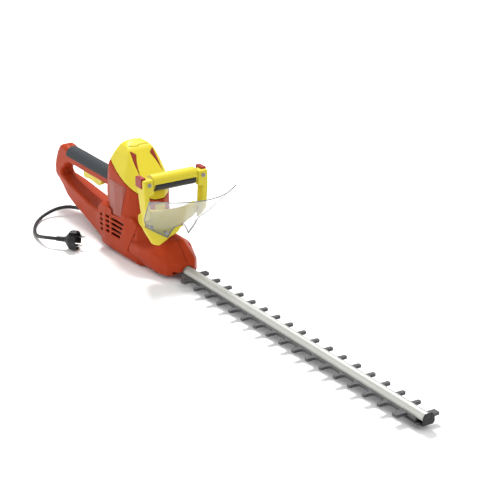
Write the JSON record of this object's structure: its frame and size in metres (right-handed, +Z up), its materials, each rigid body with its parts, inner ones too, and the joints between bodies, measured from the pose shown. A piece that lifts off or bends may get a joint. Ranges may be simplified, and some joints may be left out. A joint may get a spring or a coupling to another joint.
{
  "type": "hedge trimmer",
  "caption": "Mains hedge trimmer: D rear handle with trigger, closed front bow with switch bar, clear hand shield, geared upright motor and a long double-sided sliding blade.",
  "frame": {"origin": "centre of the flat face under the motor housing, on the floor plane", "axes": "+X forward along the blade towards its tip, +Y to the user's left, +Z up; symmetry plane y = 0 for the body"},
  "size_m": [1.118, 0.2111, 0.204],
  "materials": {
    "housing_red": "moulded orange-red plastic, fine satin grain",
    "hood_yellow": "moulded yellow plastic, satin",
    "inlay_red": "moulded red plastic inlay",
    "plate_red": "blank glossy plate",
    "grip_rubber": "soft dark grey grip",
    "trigger_yellow": "moulded yellow plastic",
    "steel": "ground steel",
    "spring_steel": "spring wire",
    "inner_plastic": "black moulded plastic",
    "handle_yellow": "moulded yellow plastic, satin",
    "cap_red": "dark red plastic",
    "screw_steel": "zinc plated screw",
    "switch_black": "black plastic",
    "shield_clear": "clear plastic sheet",
    "guide_silver": "satin silver guide bar",
    "bolt_steel": "dark zinc",
    "knife_steel": "dark ground tool steel",
    "guard_black": "black plastic",
    "cover_steel": "black steel plate",
    "cast_aluminium": "die cast plate",
    "bronze": "bronze",
    "gear_steel": "machined steel",
    "rotor_steel": "rotor with shaft, core, commutator and fan",
    "bearing_steel": "polished bearing steel",
    "core_steel": "laminated steel",
    "copper": "enamelled copper wire",
    "carbon": "carbon",
    "capacitor_film": "yellow capacitor sleeve",
    "cord_black": "black rubber",
    "plug_black": "black moulded plug",
    "pin_nickel": "nickel plated pin"
  },
  "bodies": {
    "body": {"housing_left": "housing_red", "housing_right": "housing_red", "motor_hood": "hood_yellow", "hood_inlays": "inlay_red", "name_plates": "plate_red", "rear_grip": "grip_rubber", "trigger_pin": "steel", "trigger_spring": "spring_steel", "rear_switch": "inner_plastic", "front_handle_frame": "handle_yellow", "front_handle_bar": "handle_yellow", "handle_caps": "cap_red", "handle_screws": "screw_steel", "front_switch": "inner_plastic", "front_switch_springs": "spring_steel", "hand_shield": "shield_clear", "shield_screws": "screw_steel", "guide_bar": "guide_silver", "guide_bolts": "bolt_steel", "tip_guard": "guard_black", "tip_screw": "guard_black", "bottom_cover": "cover_steel", "bottom_screws": "bolt_steel", "housing_screws": "bolt_steel", "gear_plate": "cast_aluminium", "gear_bushing": "bronze", "lower_bearing": "bearing_steel", "upper_bearing": "bearing_steel", "stator_core": "core_steel", "field_windings": "copper", "motor_frame": "inner_plastic", "brush_holders": "bronze", "carbon_brushes": "carbon", "brush_springs": "spring_steel", "capacitor": "capacitor_film", "cord_clamp": "inner_plastic", "cord_gland": "cord_black", "power_cord": "cord_black", "plug_body": "plug_black", "plug_pins": "pin_nickel"},
    "trigger": {"rear_trigger": "trigger_yellow"},
    "switch_bar": {"front_switch_bar": "switch_black"},
    "upper_blade": {"upper_knife": "knife_steel"},
    "lower_blade": {"lower_knife": "knife_steel"},
    "gear": {"drive_gear": "gear_steel"},
    "rotor": {"motor_rotor": "rotor_steel"}
  },
  "joints": [
    {"name": "rear_trigger_hinge", "type": "hinge", "parent": "body", "child": "trigger", "pos_m": [-0.149, 0, 0.104], "axis": [0, 1, 0], "range_deg": [0, 6], "stiffness_Nm_per_rad": 0.2, "springref_deg": -2.86},
    {"name": "front_switch_press", "type": "slide", "parent": "body", "child": "switch_bar", "axis": [-1, 0, 0], "range_m": [0, 0.003], "stiffness_N_per_m": 400, "springref_m": -0.001},
    {"name": "motor_spin", "type": "hinge", "parent": "body", "child": "rotor", "pos_m": [-0.004, 0, 0.09], "axis": [0, 0, 1], "continuous": true},
    {"name": "gear_spin", "type": "hinge", "parent": "body", "child": "gear", "pos_m": [0.0353, 0, 0.03], "axis": [0, 0, 1], "continuous": true},
    {"name": "upper_knife_slide", "type": "slide", "parent": "body", "child": "upper_blade", "axis": [1, 0, 0], "range_m": [-0.009, 0.009]},
    {"name": "lower_knife_slide", "type": "slide", "parent": "body", "child": "lower_blade", "axis": [1, 0, 0], "range_m": [-0.009, 0.009]}
  ],
  "couplings": [
    {"joint": "gear_spin", "follows": "motor_spin", "ratio": -0.18182},
    {"joint": "lower_knife_slide", "follows": "upper_knife_slide", "ratio": -1}
  ]
}
